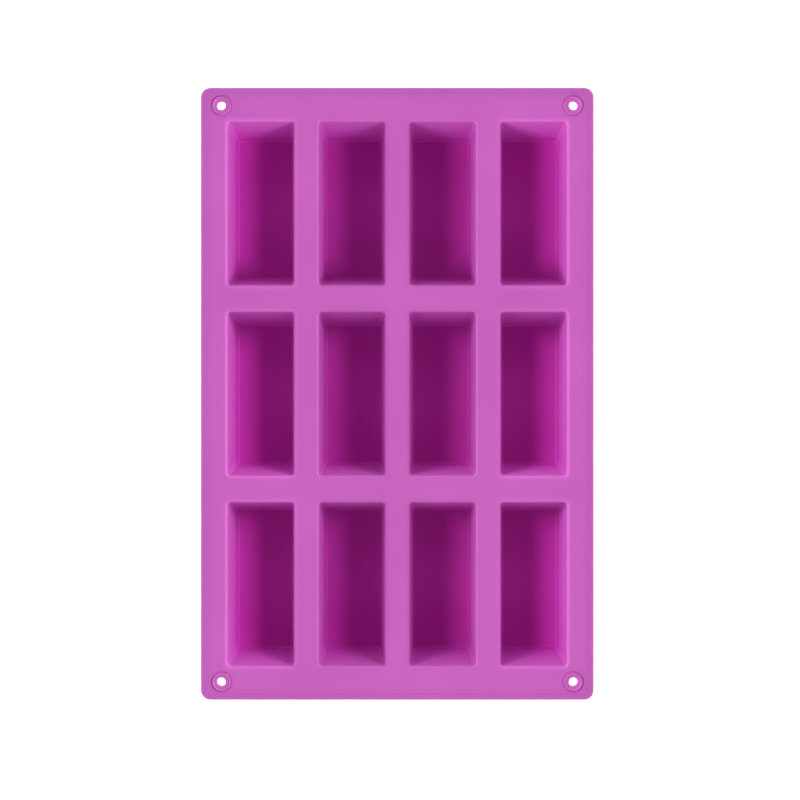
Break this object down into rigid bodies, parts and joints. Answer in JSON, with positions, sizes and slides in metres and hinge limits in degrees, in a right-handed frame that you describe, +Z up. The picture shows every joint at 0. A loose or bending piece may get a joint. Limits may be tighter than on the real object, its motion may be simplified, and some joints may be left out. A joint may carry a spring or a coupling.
{
  "type": "soap loaf mould",
  "caption": "Flexible silicone tray mould: a flat deck with rows of tapered rectangular loaf pockets hanging below it and a hanging eyelet in each corner.",
  "frame": {"origin": "centre of the plane that the cup floors stand on", "axes": "+Z up out of the pocket mouths, +Y along the mould and along each pocket, +X across the mould"},
  "size_m": [0.19, 0.296, 0.0309],
  "materials": {
    "silicone": "satin"
  },
  "bodies": {
    "root": {"deck": "silicone", "loaf_cup_row1_col1": "silicone", "loaf_cup_row1_col2": "silicone", "loaf_cup_row1_col3": "silicone", "loaf_cup_row1_col4": "silicone", "loaf_cup_row2_col1": "silicone", "loaf_cup_row2_col2": "silicone", "loaf_cup_row2_col3": "silicone", "loaf_cup_row2_col4": "silicone", "loaf_cup_row3_col1": "silicone", "loaf_cup_row3_col2": "silicone", "loaf_cup_row3_col3": "silicone", "loaf_cup_row3_col4": "silicone", "hanging_eyelet_back_left": "silicone", "hanging_eyelet_back_right": "silicone", "hanging_eyelet_front_left": "silicone", "hanging_eyelet_front_right": "silicone"}
  },
  "joints": []
}
